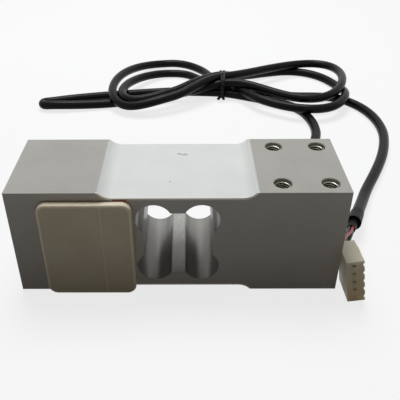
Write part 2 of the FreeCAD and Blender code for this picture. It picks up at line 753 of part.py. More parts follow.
def tube(label, corners, diameter):
    """A round cord along a route, with its volume compared with its section times its length."""
    path, radii = route(corners)
    along = corners[1] - corners[0]
    ring = Part.Wire([Part.Circle(corners[0], along, diameter / 2).toShape()])
    solid = path.makePipeShell([ring], True, False)
    wanted = math.pi * diameter**2 / 4 * path.Length
    if abs(solid.Volume / wanted - 1) > VOLUME_SLACK:
        raise ValueError(f"{label} has {solid.Volume:.1f} of {wanted:.1f} cubic millimetres")
    listed = ", ".join(f"{radius:.0f}" for radius in radii)
    print(f"{label}: {path.Length:.0f} mm long, arc radii {listed}")
    return solid


def made(label, shape):
    """A sub-part whose shape is worked out here, from the sheet's values."""
    thing = document.addObject("Part::Feature", label)
    thing.Shape = shape
    return node(thing, label)


def outlet_boot():
    """The tapered bush that holds the cable where it leaves the back."""
    part = body("cable_boot", (OUTLET_X, "beam_width / 2", HALF_UP))
    profile = sketch(part, "BootProfile", "XY_Plane")
    hole, seat = "( cable + cable_room ) / 2", "seat_diameter / 2"
    outline(profile, [
        (hole, "0 - seat_depth"), (seat, "0 - seat_depth"), (seat, "0"), ("flange_diameter / 2", "0"),
        ("flange_diameter / 2", "flange_thickness"), ("boot_base / 2", "flange_thickness"),
        ("boot_tip / 2", "flange_thickness + boot_length"), (hole, "flange_thickness + boot_length"),
    ])
    turned = part.newObject("PartDesign::Revolution", "BootTurned")
    turned.Profile = profile
    turned.ReferenceAxis = (profile, ["V_Axis"])
    turned.Angle = 360


def cable_in_beam():
    """The jacketed cable from the pocket to the boot's mouth, and its four cores to the board."""
    start = f"{POCKET_FLOOR} - stub_end"
    reach = f"beam_width / 2 + flange_thickness + boot_length - ( {start} )"
    node(cylinder("stub", (OUTLET_X, start, HALF_UP), "cable", reach, "Y"), "cable_in_bore")
    mouth, face = worked_out(start), worked_out(BOARD_FACE)
    core, left = size("core"), worked_out(OUTLET_X)
    middle, near_board = worked_out(HALF_UP), worked_out(BOARD_X)
    aside = (core + size("core_gap")) / 2
    colours = ("red", "black", "green", "white")
    for number, colour in enumerate(colours):
        side, up = (-1, 1)[number % 2], (1, -1)[number // 2]
        x, height = left + side * aside, middle + up * aside
        target_x = near_board + core
        target_z = middle + ((len(colours) - 1) / 2 - number) * (core + size("core_step"))
        plane = face - core - size("core_rise") + side * (core + size("core_parting")) / 2
        points = [
            Vector(x, mouth, height), Vector(x, plane, height),
            Vector(target_x, plane, target_z), Vector(target_x, face, target_z),
        ]
        made(f"board_wire_{colour}", tube(f"board_wire_{colour}", points, core))


def spots(corners):
    return [Vector(*corner) for corner in corners]


def loop_line(reach, half, turn, lean, late, bow, height):
    """A teardrop that starts and ends at the tie, as points in the plane."""
    half_turns = [math.pi / 2 * number / PEAK_STEPS for number in range(PEAK_STEPS)]
    peak = max(math.sin(2 * angle) * math.sin(angle) ** late for angle in half_turns)
    points = []
    for step in range(LOOP_STEPS + 1):
        angle = 2 * math.pi * step / LOOP_STEPS
        across = half * math.sin(angle) * math.sin(angle / 2) ** late / peak
        along = reach * (1 - math.cos(angle)) / 2 + lean * across
        points.append(Vector(along, across + bow * (along / reach) ** 2, 0))
    placed = Placement(Vector(*TIE, 0), Rotation(Vector(0, 0, 1), turn))
    return [placed.multVec(point) for point in points]


def band(points, width, height):
    """A closed loop's points as a flat band of one width, standing on the table."""
    solid = None
    for here, there in zip(points, points[1:]):
        along = (there - here).normalize()
        across = Vector(-along.y, along.x, 0) * (width / 2)
        reach = along * (width * BAND_LAP)
        corners = [here - reach + across, there + reach + across,
                   there + reach - across, here - reach - across]
        piece = Part.Face(Part.makePolygon(corners + corners[:1])).extrude(Vector(0, 0, height))
        solid = piece if solid is None else solid.fuse(piece)
    return solid


def round_bar(length, width, height, corner):
    """A bar along X with round long edges, centred on X and Y and standing on Z = 0."""
    low, high = Vector(-length / 2, -width / 2, 0), Vector(length, width, height)
    bar = Part.makeBox(high.x, high.y, high.z, low)
    long_edges = [edge for edge in bar.Edges if abs(edge.BoundBox.XLength - length) < HAIR]
    return bar.makeFillet(corner, long_edges)


def hank():
    """The tied hank's outer shape: its loops as bands, and the waist that the tie goes round."""
    width, height = size("waist_width"), size("strand_height")
    lift, corner = size("waist_lift"), size("waist_corner")
    middle = Vector(*TIE, 0)
    solid = round_bar(size("waist_length"), width, height, corner)
    solid.translate(middle + Vector(0, 0, lift))
    room = size("tie_width") + 2 * size("tie_thickness")
    clear = Part.makeBox(room, 4 * width, 4 * height, middle - Vector(room / 2, 2 * width, height))
    for loop in LOOPS:
        line = band(loop_line(*loop), size("band_width"), size(loop[-1]))
        solid = solid.fuse(line.cut(clear))
    return solid.removeSplitter()


def hank_tie():
    """The plastic tie twice round the waist, with its twisted end lying in front."""
    room, thick = size("tie_room"), size("tie_thickness")
    width, height = size("waist_width") + 2 * room, size("strand_height") + 2 * room
    corner = size("waist_corner") + room
    inner = round_bar(size("tie_width") + 2 * OVERCUT, width, height, corner)
    outer = round_bar(size("tie_width"), width + 2 * thick, height + 2 * thick, corner + thick)
    inner.translate(Vector(0, 0, thick))
    ring = outer.cut(inner)
    radius = size("twist_diameter") / 2
    start = Vector(0, -width / 2 - thick / 2, radius + thick)
    twist = Part.makeCylinder(radius, size("twist_length") + thick / 2, start, Vector(0, -1, 0))
    solid = ring.fuse(twist.cut(inner)).removeSplitter()
    solid.translate(Vector(*TIE, size("waist_lift") - room - thick))
    made("hank_tie", solid)


def free_cable():
    """The cable behind the beam to the hank, the hank, and the cable from it to its end."""
    mouth = Vector(worked_out(OUTLET_X),
                   worked_out("beam_width / 2 + flange_thickness + boot_length"), worked_out(HALF_UP))
    coiled = hank()
    leads = (("cable_lead_in", [mouth] + spots(LEAD_IN)), ("cable_lead_out", spots(LEAD_OUT)))
    for label, corners in leads:
        solid = tube(label, corners, size("cable")).cut(coiled)
        pieces = sorted(solid.Solids, key=lambda piece: piece.Volume)
        made(label, pieces[-1])
    made("cable_hank", coiled)
    hank_tie()


# ---------------------------------------------------------------- the plug and the stripped end


# Where the plug's lower front corner stands, for its rear lower edge to rest on the table and its
# top to touch the beam's end at the covered side.
TOUCH = (
    "plug_row * cos(plug_tilt * 1 deg) - "
    "( plug_front - plug_row * sin(plug_tilt * 1 deg) ) * tan(plug_tilt * 1 deg)"
)
PLUG_AT = (
    f"beam_length - pattern_inset + ( {TOUCH} ) * sin(plug_lean * 1 deg) + plug_room",
    f"{FRONT} - plug_front",
    "plug_depth * sin(plug_tilt * 1 deg) * cos(plug_lean * 1 deg)",
)
WAY_X = "way_side"


def plug_placement():
    """Where the plug stands, leaning to the side and back."""
    corner = Vector(*(worked_out(item) for item in PLUG_AT))
    return Placement(corner, Rotation(0, -size("plug_lean"), -size("plug_tilt")))


def plug_place(thing):
    """Lean a piece of the plug with it."""
    thing.Placement = plug_placement()
    at = "; ".join(sizes(item) for item in PLUG_AT)
    turn = sizes("0 - plug_lean; 0 - plug_tilt")
    thing.setExpression("Placement", f"placement(vector({at}); rotation(0; {turn}))")
    return thing


def way_height(number):
    """The middle of one way, up the row."""
    return f"plug_row / 2 + {number - WAYS // 2} * plug_pitch"


def plug_ridges(part):
    """Five grooves down one side, one by each way, which leave rounded ridges between them."""
    grooves = sketch(part, "Grooves", "XZ_Plane")
    for number in range(WAYS):
        circle(grooves, "plug_thickness", way_height(number), "groove_diameter")
    ridged = pocket(part, "GrooveDepth", grooves, "plug_depth")
    side, long = worked_out("plug_thickness"), worked_out("plug_depth")
    rims = [
        name for name in edges_where(ridged.Shape, lambda spot: abs(spot.x - side) < HAIR)
        if abs(ridged.Shape.getElement(name).BoundBox.YLength - long) < HAIR
    ]
    inner = [name for name in rims if 0 < ridged.Shape.getElement(name).CenterOfMass.z < size("plug_row")]
    dress(part, "Fillet", "Ridges", ridged, inner, "Radius", "groove_edge")


def plug():
    """The five-way housing: a moulded block with a small step at its wire end, a way from the back
    and a smaller opening in the front for each terminal, and a locking window beside each."""
    part = document.addObject("PartDesign::Body", "plug_housing")
    side = sketch(part, "PlugFront", "XZ_Plane")
    oblong(side, "plug_thickness / 2", "plug_row / 2", "plug_thickness", "plug_row")
    pad(part, "PlugBlock", side, "plug_depth", backwards=True)
    document.recompute()
    plug_ridges(part)
    neck = sketch(part, "NeckOutline", "XY_Plane")
    shoulder, narrow = "plug_depth - plug_neck", "plug_thickness - plug_step"
    past = f"plug_thickness + {OVERCUT}"
    outline(neck, [
        (narrow, shoulder), (past, shoulder), (past, "plug_depth"),
        (f"{narrow} - plug_draft", "plug_depth"),
    ])
    pocket(part, "NeckStep", neck, "plug_row", backwards=True)
    mouths = sketch(part, "Mouths", "XZ_Plane")
    ways = sketch(part, "Ways", "XZ_Plane", "0 - plug_depth")
    windows = sketch(part, "LockWindows", "YZ_Plane", "plug_thickness")
    for number in range(WAYS):
        height = way_height(number)
        oblong(mouths, WAY_X, height, "mouth_width", "mouth_height")
        oblong(ways, WAY_X, height, "cavity_width", "cavity_height")
        oblong(windows, "lock_start + lock_length / 2", height, "lock_length", "lock_height")
    pocket(part, "MouthDepth", mouths, "front_wall")
    pocket(part, "WayDepth", ways, "plug_depth - front_wall", backwards=True)
    depth = f"plug_thickness - {WAY_X} - cavity_width / 2 + lock_lap"
    pocket(part, "WindowDepth", windows, depth)
    plug_place(part)
    node(part, "plug_housing")


def terminals():
    """Five crimped terminals, each a square socket with a round barrel behind it."""
    side, opening, start = "terminal_side", "terminal_mouth", "front_wall + terminal_gap"
    for number in range(WAYS):
        name, height = f"crimp_terminal_{number + 1}", way_height(number)
        corner = (f"{WAY_X} - {side} / 2", start, f"{height} - {side} / 2")
        shell = box(f"{name}_shell", corner, (side, "terminal_body", side))
        barrel_length = f"plug_depth - wire_lead / 2 - terminal_body - ( {start} )"
        barrel = cylinder(f"{name}_barrel", (WAY_X, f"{start} + terminal_body", height),
                          "crimp_diameter", barrel_length, "Y")
        corner = (f"{WAY_X} - {opening} / 2", "0", f"{height} - {opening} / 2")
        mouth = box(f"{name}_mouth", corner, (opening, "terminal_body", opening))
        whole = fuse(f"{name}_whole", [shell, barrel])
        node(plug_place(cut(f"{name}_cut", whole, [mouth])), name)


def stripped_end():
    """The flared sleeve on the jacket's end, the liner round the cores, and five wires."""
    end = Vector(*LEAD_OUT[-1])
    along = (end - Vector(*LEAD_OUT[-2])).normalize()
    length, reach = size("sleeve_length"), size("liner_reach")
    liner_radius = size("liner_diameter") / 2
    flare = Part.makeCone(size("sleeve_diameter") / 2, size("sleeve_flare") / 2, length, end, along)
    bore = Part.makeCylinder(liner_radius, length, end, along)
    made("end_sleeve", flare.cut(bore))
    made("core_liner", Part.makeCylinder(liner_radius, length + reach, end, along))
    mouth = end + along * (length + reach)
    sideways = along.cross(Vector(0, 0, 1)).normalize()
    upwards = sideways.cross(along).normalize()
    lean = plug_placement()
    lead, back = size("wire_lead"), size("plug_depth")
    for number, colour in enumerate(("shield", "white", "green", "black", "red")):
        angle = 2 * math.pi / WAYS * ((number + 1) // 2) * (-1) ** (number + 1)
        side = sideways * math.sin(angle) + upwards * -math.cos(angle)
        start = mouth + side * size("wire_ring")
        x, height = worked_out(WAY_X), worked_out(way_height(number))
        inside = lean.multVec(Vector(x, back - lead / 2, height))
        outside = lean.multVec(Vector(x, back + lead, height))
        points = [start, start + along * lead, outside, inside]
        made(f"wire_{colour}", tube(f"wire_{colour}", points, size("wire")))


# ---------------------------------------------------------------- the document


def check():
    """Stop on any object that failed and on any sub-part without a valid shape."""
    for thing in document.Objects:
        if {"Invalid", "Error"} & set(thing.State):
            raise ValueError(f"{thing.Label} failed: {thing.State}")
    for label, thing in nodes.items():
        if thing.Shape.isNull() or not thing.Shape.isValid() or not thing.Shape.Solids:
            raise ValueError(f"{label} has no valid shape")


beam()
inserts()
for recess in LEVELS:
    gauge_side(recess)
board()
side_cover()
adhesive()
outlet_boot()
cable_in_beam()
free_cable()
plug()
terminals()
stripped_end()
document.recompute()
check()
os.makedirs(OUT, exist_ok=True)
for label, thing in nodes.items():
    thing.Shape.exportStep(f"{OUT}/{label}.step")
print(f"{len(nodes)} sub-parts written")
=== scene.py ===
"""The looks of a single point load cell: a ground aluminium beam with sealed gauges, a side cover and
a tied cable with a plug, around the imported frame. Metres, in the frame's own axes."""

import json
import math

import bmesh
import bpy
import numpy as np
from mathutils import Matrix, Vector

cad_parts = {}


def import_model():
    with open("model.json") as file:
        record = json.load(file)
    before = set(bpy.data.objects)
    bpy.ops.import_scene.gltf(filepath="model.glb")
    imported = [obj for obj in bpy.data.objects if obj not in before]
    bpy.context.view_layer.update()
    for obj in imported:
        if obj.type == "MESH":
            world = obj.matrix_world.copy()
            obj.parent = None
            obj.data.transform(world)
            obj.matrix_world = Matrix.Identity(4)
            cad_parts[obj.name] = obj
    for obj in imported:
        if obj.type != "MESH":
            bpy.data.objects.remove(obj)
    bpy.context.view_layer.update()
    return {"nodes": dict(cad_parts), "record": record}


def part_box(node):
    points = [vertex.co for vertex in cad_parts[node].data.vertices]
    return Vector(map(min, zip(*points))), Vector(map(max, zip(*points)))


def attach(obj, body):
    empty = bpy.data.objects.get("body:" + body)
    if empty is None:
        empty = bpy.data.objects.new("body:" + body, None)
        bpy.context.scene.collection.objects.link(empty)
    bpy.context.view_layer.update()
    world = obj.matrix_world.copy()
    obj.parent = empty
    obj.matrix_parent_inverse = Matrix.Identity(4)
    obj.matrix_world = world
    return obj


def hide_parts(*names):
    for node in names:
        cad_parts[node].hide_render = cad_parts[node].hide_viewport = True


MM = 0.001
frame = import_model()
nodes = frame["nodes"]
LINE_STEPS = 6  # points on a curve for each of its control points
ROUND_STEPS = 5  # how finely a wire's or cable's round section is divided

# ---------------------------------------------------------------- small helpers


def ride(piece, slot, *replaced):
    """Put a finished piece on the part, in place of CAD nodes if any are named."""
    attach(piece, "root")
    if replaced:
        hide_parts(*replaced)
    return piece


def link(name, data):
    piece = bpy.data.objects.new(name, data)
    bpy.context.scene.collection.objects.link(piece)
    return piece


def mesh_piece(name, points, faces, material):
    """A smooth mesh object from points in millimetres."""
    mesh = bpy.data.meshes.new(name)
    mesh.from_pydata([tuple(float(value) * MM for value in point) for point in points], [], faces)
    mesh.validate()
    builder = bmesh.new()
    builder.from_mesh(mesh)
    bmesh.ops.recalc_face_normals(builder, faces=builder.faces)
    builder.to_mesh(mesh)
    builder.free()
    mesh.polygons.foreach_set("use_smooth", [True] * len(mesh.polygons))
    mesh.materials.append(material)
    return link(name, mesh)


def tube_faces(rings, columns):
    """Quads from ring to ring over points that were listed ring by ring."""
    faces = []
    for ring in range(rings - 1):
        for column in range(columns):
            here, onward, after = ring * columns, (ring + 1) * columns, (column + 1) % columns
            faces.append((here + column, here + after, onward + after, onward + column))
    return faces


def cord_curve(name, points, diameter, material):
    """One smooth open line through the given control points, in millimetres, with round section."""
    data = bpy.data.curves.new(name, "CURVE")
    data.dimensions = "3D"
    spline = data.splines.new("NURBS")
    spline.points.add(len(points) - 1)
    for slot, point in zip(spline.points, points):
        slot.co = (point[0] * MM, point[1] * MM, point[2] * MM, 1.0)
    spline.order_u = 3
    spline.use_endpoint_u = True
    spline.resolution_u = data.resolution_u = LINE_STEPS
    data.bevel_depth = diameter / 2 * MM
    data.bevel_resolution = ROUND_STEPS
    data.use_fill_caps = True
    data.materials.append(material)
    return link(name, data)


# ---------------------------------------------------------------- materials

BEAM_MIDDLE, BEAM_HALF_UP = 0.0513, 0.025
# The room that the window takes up in the beam: axis, from, to, and how softly it starts and ends.
WINDOW = (("X", 0.0305, 0.0721, 0.001), ("Y", -0.0219, 0.0219, 0.0003), ("Z", 0.0052, 0.0448, 0.0004))


class Shading:
    """A material's nodes, made in short calls. Places are the part's own, in metres."""

    def __init__(self, name, colour, roughness, metallic=0.0, **settings):
        self.material = bpy.data.materials.new(name)
        self.material.use_nodes = True
        self.tree = self.material.node_tree
        self.shader = self.tree.nodes["Principled BSDF"]
        self.shader.inputs["Base Color"].default_value = (*colour, 1.0)
        self.shader.inputs["Roughness"].default_value = roughness
        self.shader.inputs["Metallic"].default_value = metallic
        for key, value in settings.items():
            self.shader.inputs[key.replace("_", " ")].default_value = value
        self.place = self.add("ShaderNodeTexCoord").outputs["Object"]

    def add(self, kind, **settings):
        item = self.tree.nodes.new(kind)
        for key, value in settings.items():
            setattr(item, key, value)
        return item

    def join(self, source, target):
        self.tree.links.new(source, target)

    def stretched(self, scale):
        item = self.add("ShaderNodeMapping")
        self.join(self.place, item.inputs["Vector"])
        item.inputs["Scale"].default_value = scale
        return item.outputs["Vector"]

    def noise(self, scale, detail=3.0, roughness=0.5, stretch=None):
        item = self.add("ShaderNodeTexNoise")
        item.inputs["Scale"].default_value = scale
        item.inputs["Detail"].default_value = detail
        item.inputs["Roughness"].default_value = roughness
        self.join(self.stretched(stretch) if stretch else self.place, item.inputs["Vector"])
        return item.outputs["Fac"]

    def ramp(self, value, low, high, start=0.0, end=1.0):
        """A smooth change from start to end while the value goes from low to high."""
        item = self.add("ShaderNodeMapRange")
        item.interpolation_type = "SMOOTHSTEP"
        self.join(value, item.inputs["Value"])
        for key, number in (("From Min", low), ("From Max", high), ("To Min", start), ("To Max", end)):
            item.inputs[key].default_value = number
        return item.outputs["Result"]

    def maths(self, operation, first, second=0.0):
        item = self.add("ShaderNodeMath", operation=operation)
        for socket, value in zip(item.inputs, (first, second)):
            if isinstance(value, (int, float)):
                socket.default_value = value
            else:
                self.join(value, socket)
        return item.outputs["Value"]

    def axis(self, letter):
        item = self.add("ShaderNodeSeparateXYZ")
        self.join(self.place, item.inputs["Vector"])
        return item.outputs[letter]

    def away(self, letter, middle):
        """How far a place is from the middle along one axis."""
        return self.maths("ABSOLUTE", self.maths("SUBTRACT", self.axis(letter), middle))

    def between(self, value, low, high, fade):
        """1 where the value lies between low and high, and fading to 0 just inside each."""
        rise, fall = self.ramp(value, low, low + fade), self.ramp(value, high - fade, high, 1.0, 0.0)
        return self.maths("MULTIPLY", rise, fall)

    def mix(self, amount, first, second):
        """A colour between two, which are colours or sockets."""
        item = self.add("ShaderNodeMix", data_type="RGBA")
        self.join(amount, item.inputs[0])
        for socket, colour in ((item.inputs[6], first), (item.inputs[7], second)):
            if isinstance(colour, tuple):
                socket.default_value = (*colour, 1.0)
            else:
                self.join(colour, socket)
        return item.outputs[2]

    def colour(self, socket):
        self.join(socket, self.shader.inputs["Base Color"])

    def rough(self, value, low, high, start, end):
        self.join(self.ramp(value, low, high, start, end), self.shader.inputs["Roughness"])

    def bump(self, height, distance, strength=1.0):
        item = self.add("ShaderNodeBump")
        item.inputs["Distance"].default_value = distance
        item.inputs["Strength"].default_value = strength
        self.join(height, item.inputs["Height"])
        self.join(item.outputs["Normal"], self.shader.inputs["Normal"])


def spot(make, place, reach, soft=0.4):
    """1 inside an ellipse around a place on a level face, 0 outside, in metres."""
    across = make.maths("DIVIDE", make.maths("SUBTRACT", make.axis("X"), place[0]), reach[0])
    behind = make.maths("DIVIDE", make.maths("SUBTRACT", make.axis("Y"), place[1]), reach[1])
    far = make.maths("ADD", *(make.maths("MULTIPLY", value, value) for value in (across, behind)))
    return make.ramp(far, 1.0 - soft, 1.0 + soft, 1.0, 0.0)


def scratches(make):
    """Three fine scratches near the left end of the covered side: start, height, slope and length."""
    found, fade = None, 0.001
    for start, low, slope, length in ((-0.0155, 0.0285, 0.95, 0.0095), (-0.0150, 0.0225, 0.35, 0.0060),
                                      (-0.0128, 0.0330, -1.6, 0.0035)):
        along = make.maths("SUBTRACT", make.axis("X"), start)
        line = make.maths("SUBTRACT", make.maths("SUBTRACT", make.axis("Z"), low),
                          make.maths("MULTIPLY", along, slope))
        line = make.ramp(make.maths("ABSOLUTE", line), 0.00005, 0.00028, 1.0, 0.0)
        line = make.maths("MULTIPLY", line, make.between(along, 0.0, length, fade))
        found = line if found is None else make.maths("MAXIMUM", found, line)
    return make.maths("MULTIPLY", found, make.ramp(make.noise(500, 2), 0.3, 0.6))


def ground_aluminium():
    """Ground outside, with fine grain, spots and scratches; smoother and darker inside the window, with
    painted light on the island between its lobes.
    """
    make = Shading("ground_aluminium", (0.44, 0.435, 0.42), 0.44, 0.03, Specular_IOR_Level=0.2)
    cloud = make.noise(38, 3)
    grain = make.noise(900, 2, stretch=(0.12, 1.0, 1.0))
    spots = make.ramp(make.noise(260, 2, 0.6), 0.68, 0.8)
    tone = make.mix(make.ramp(cloud, 0.3, 0.7), (0.40, 0.379, 0.348), (0.438, 0.418, 0.388))
    tone = make.mix(make.ramp(grain, 0.4, 0.8, 0.0, 0.3), tone, (0.475, 0.46, 0.435))
    tone = make.mix(spots, tone, (0.33, 0.32, 0.30))
    tone = make.mix(scratches(make), tone, (0.50, 0.49, 0.47))
    inside = 1.0
    for letter, low, high, fade in WINDOW:
        inside = make.maths("MULTIPLY", inside, make.between(make.axis(letter), low, high, fade))
    outside = make.maths("SUBTRACT", 1.0, inside)
    calm = make.maths("ADD", make.maths("MULTIPLY", grain, outside), make.maths("MULTIPLY", inside, 0.5))
    # Painted light: the level faces of the island between the lobes are made paler, as if lit through the
    # window; the fine noise on them is grain.
    island = make.maths("MULTIPLY", make.ramp(make.away("X", BEAM_MIDDLE), 0.0025, 0.0028, 1.0, 0.0),
                        make.ramp(make.away("Z", BEAM_HALF_UP), 0.009, 0.010))
    island_grain_and_painted_light = make.mix(make.ramp(make.noise(1300, 2), 0.3, 0.7), (0.35, 0.34, 0.32), (0.45, 0.44, 0.415))
    make.colour(make.mix(inside, tone, make.mix(island, (0.28, 0.272, 0.257), island_grain_and_painted_light)))
    make.join(make.ramp(inside, 0.0, 1.0, 0.03, 0.36), make.shader.inputs["Metallic"])
    gloss = make.ramp(calm, 0.3, 0.7, 0.4, 0.52)
    gloss = make.maths("SUBTRACT", gloss, make.maths("MULTIPLY", inside, 0.16))
    make.join(gloss, make.shader.inputs["Roughness"])
    make.bump(calm, 0.00001, 0.25)
    return make.material


def insert_wire():
    """Bright wire with brown stain in places."""
    make = Shading("insert_wire", (0.26, 0.245, 0.21), 0.24, 1.0)
    stain = make.noise(420, 3)
    make.colour(make.mix(make.ramp(stain, 0.35, 0.75), (0.28, 0.265, 0.23), (0.11, 0.095, 0.06)))
    make.rough(stain, 0.3, 0.7, 0.16, 0.32)
    return make.material


def white_silicone():
    """Sealant with two smudges and a dot, painted shade along each end and a creamy front edge."""
    low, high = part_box("top_sealant")
    make = Shading("white_silicone", (0.78, 0.79, 0.785), 0.42, Subsurface_Weight=0.12,
                   Subsurface_Radius=(0.002, 0.002, 0.002), Subsurface_Scale=1.0)
    cloud = make.noise(60, 3)
    tone = make.mix(make.ramp(cloud, 0.3, 0.7), (0.75, 0.76, 0.74), (0.785, 0.79, 0.77))
    smudges = make.maths("MAXIMUM", spot(make, (0.0514, 0.0129), (0.0011, 0.0007)),
                         spot(make, (0.0540, 0.0124), (0.0014, 0.0008)))
    smudges = make.maths("MULTIPLY", smudges, make.ramp(make.noise(900, 2), 0.35, 0.6, 0.15, 0.9))
    marks = make.maths("MAXIMUM", smudges, spot(make, (0.0481, -0.0098), (0.0003, 0.0004)))
    # Painted shade: darker bands along both ends of the sealant, the left one darker.
    left = make.ramp(make.axis("X"), low[0] + 0.0004, low[0] + 0.0013, 1.0, 0.0)
    right = make.ramp(make.axis("X"), high[0] - 0.0013, high[0] - 0.0004, 0.0, 0.45)
    tone = make.mix(make.maths("MAXIMUM", left, right), tone, (0.40, 0.40, 0.41))
    edge = make.ramp(make.axis("Y"), low[1] + 0.0003, low[1] + 0.0012, 0.7, 0.0)
    tone = make.mix(edge, tone, (0.83, 0.80, 0.70))
    make.colour(make.mix(marks, tone, (0.24, 0.25, 0.25)))
    make.rough(cloud, 0.3, 0.7, 0.36, 0.5)
    make.bump(make.noise(130, 2), 0.00012, 0.25)
    return make.material


def beige_cover():
    """Moulded cap, with a painted highlight on its rounded rim and on the thin line down it."""
    low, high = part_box("side_cover")
    corner, rib_shift = 0.004, 0.0065
    make = Shading("beige_cover", (0.54, 0.49, 0.37), 0.45, Specular_IOR_Level=0.3)
    squares = []
    for letter, axis in (("X", 0), ("Z", 2)):
        middle, straight = (low[axis] + high[axis]) / 2, (high[axis] - low[axis]) / 2 - corner
        over = make.maths("SUBTRACT", make.away(letter, middle), straight)
        over = make.maths("MAXIMUM", over, 0.0)
        squares.append(make.maths("MULTIPLY", over, over))
    reach = make.maths("SQRT", make.maths("ADD", *squares))
    # Painted highlights: the rounded rim and the thin raised line are made paler, as where they catch the
    # light.
    rim_highlight = make.ramp(reach, corner - 0.0014, corner - 0.0007)
    rib_highlight = make.ramp(make.away("X", (low[0] + high[0]) / 2 + rib_shift), 0.0002, 0.0004, 0.5, 0.0)
    cloud = make.noise(70, 3)
    tone = make.mix(make.ramp(cloud, 0.3, 0.7), (0.53, 0.465, 0.345), (0.58, 0.52, 0.39))
    make.colour(make.mix(make.maths("MAXIMUM", rim_highlight, rib_highlight), tone, (0.80, 0.71, 0.54)))
    make.rough(make.noise(800, 2), 0.3, 0.7, 0.4, 0.52)
    make.bump(make.noise(1500, 2), 0.00002, 0.3)
    return make.material


def plain(name, colour, roughness, metallic=0.0, gloss=0.5):
    """A material with a little of its own variation in colour and gloss."""
    make = Shading(name, colour, roughness, metallic, Specular_IOR_Level=gloss)
    cloud = make.noise(120, 3)
    darker = tuple(value * 0.85 for value in colour)
    make.colour(make.mix(make.ramp(cloud, 0.3, 0.7), darker, colour))
    make.rough(cloud, 0.3, 0.7, roughness * 0.85, min(1.0, roughness * 1.15))
    return make.material


def black_jacket():
    """The cable's soft jacket, with a faint unevenness."""
    make = Shading("black_jacket", (0.005, 0.005, 0.005), 0.3, Specular_IOR_Level=0.1)
    cloud = make.noise(90, 3)
    make.colour(make.mix(make.ramp(cloud, 0.35, 0.7), (0.0035, 0.0035, 0.0037), (0.006, 0.0065, 0.006)))
    make.rough(make.noise(70, 2), 0.3, 0.7, 0.26, 0.34)
    make.bump(make.noise(200, 2), 0.00002, 0.06)
    return make.material


def natural_nylon():
    """Cloudy, slightly see-through plastic, with painted light that makes it yellower towards its foot."""
    make = Shading("natural_nylon", (0.82, 0.72, 0.50), 0.42, Specular_IOR_Level=0.35, Subsurface_Weight=0.5,
                   Subsurface_Radius=(0.006, 0.005, 0.0035), Subsurface_Scale=1.0, Transmission_Weight=0.32)
    cloud = make.noise(160, 3)
    # Painted light: the lower part is given a warmer, more yellow colour, as light glowing through the
    # plastic there.
    low = make.ramp(make.axis("Z"), 0.0, 0.020)
    tone = make.mix(make.ramp(cloud, 0.3, 0.7), (0.78, 0.70, 0.52), (0.84, 0.77, 0.61))
    make.colour(make.mix(low, (0.90, 0.76, 0.49), tone))
    make.rough(cloud, 0.3, 0.7, 0.36, 0.5)
    make.bump(make.noise(900, 2), 0.00002, 0.3)
    return make.material


MATERIALS = {
    "machined_aluminium": ground_aluminium(),
    "insert_steel": insert_wire(),
    "white_silicone": white_silicone(),
    "beige_plastic": beige_cover(),
    "bond": plain("bond", (0.10, 0.09, 0.075), 0.5),
    "gauge_foil": plain("gauge_foil", (0.45, 0.24, 0.06), 0.4),
    "copper": plain("copper", (0.72, 0.42, 0.22), 0.3, 1.0),
    "red_flex": plain("red_flex", (0.22, 0.045, 0.022), 0.42),
    "board_green": plain("board_green", (0.05, 0.18, 0.09), 0.4),
    "chip_black": plain("chip_black", (0.03, 0.03, 0.03), 0.35),
    "black_jacket": black_jacket(),
    "black_rubber": plain("black_rubber", (0.004, 0.004, 0.0043), 0.4, gloss=0.06),
    "black_tie": plain("black_tie", (0.006, 0.006, 0.0055), 0.4, gloss=0.14),
    "natural_nylon": natural_nylon(),
    "tinned_metal": plain("tinned_metal", (0.70, 0.70, 0.68), 0.3, 1.0),
    "wire_red": plain("wire_red", (0.42, 0.035, 0.04), 0.38),
    "wire_black": plain("wire_black", (0.013, 0.013, 0.016), 0.4),
    "wire_green": plain("wire_green", (0.03, 0.20, 0.07), 0.38),
    "wire_white": plain("wire_white", (0.72, 0.72, 0.70), 0.38),
    "wire_shield": plain("wire_shield", (0.03, 0.03, 0.05), 0.45),
}
for item in frame["record"]["subparts"]:
    surface = nodes[item["node"]].data
    surface.materials.clear()
    surface.materials.append(MATERIALS[item["material_slot"]])

# ---------------------------------------------------------------- the cable

CABLE = 6.0
# The free cable's route: from the boot's mouth to the hank, and from the hank to its stripped end.
LEAD_IN = [
    (5.4, 41.0, 25.0), (5.4, 57.0, 25.0), (9.6, 69.5, 18.5), (20.5, 79.0, 9.5), (36.5, 82.5, 3.8),
    (54.5, 80.5, 3.0), (72.5, 75.5, 3.0), (90.0, 73.6, 3.0), (106.0, 75.8, 3.0), (120.0, 84.0, 3.0),
    (130.5, 97.5, 3.0), (136.8, 113.5, 3.0), (138.2, 127.0, 3.0), (136.8, 139.5, 3.0), (133.0, 152.0, 3.0),
]
LEAD_OUT = [
    (160.0, 173.0, 3.0), (168.5, 166.0, 3.0), (176.3, 154.5, 3.0), (180.4, 139.0, 3.0),
    (180.6, 121.0, 3.0), (176.6, 104.0, 3.0), (170.2, 87.0, 3.0), (161.2, 69.0, 3.0),
    (151.6, 51.8, 3.0), (145.0, 37.0, 4.2), (139.4, 24.6, 6.8),
]
# The stretches between those and the tie, which belong to the hank and may shift with it.
TO_TIE = [(123.5, 162.5, 3.0), (109.0, 172.0, 3.0)]
FROM_TIE = [(103.0, 182.5, 3.4), (117.0, 177.5, 3.0), (132.0, 174.5, 3.0), (147.0, 174.5, 3.0)]
FREE_IN, FREE_OUT = 1, 2  # how many points of the free cable, next to those, may shift too
TIE = (81.0, 186.5)
WAIST = 6.0  # half the length over which the strands run straight through the tie
BUNDLE = 34.0  # how far from the tie the strands still bend each other
LOOP_START = WAIST + 10  # how far from the tie a loop's own points start
LOOP_STEPS = 46
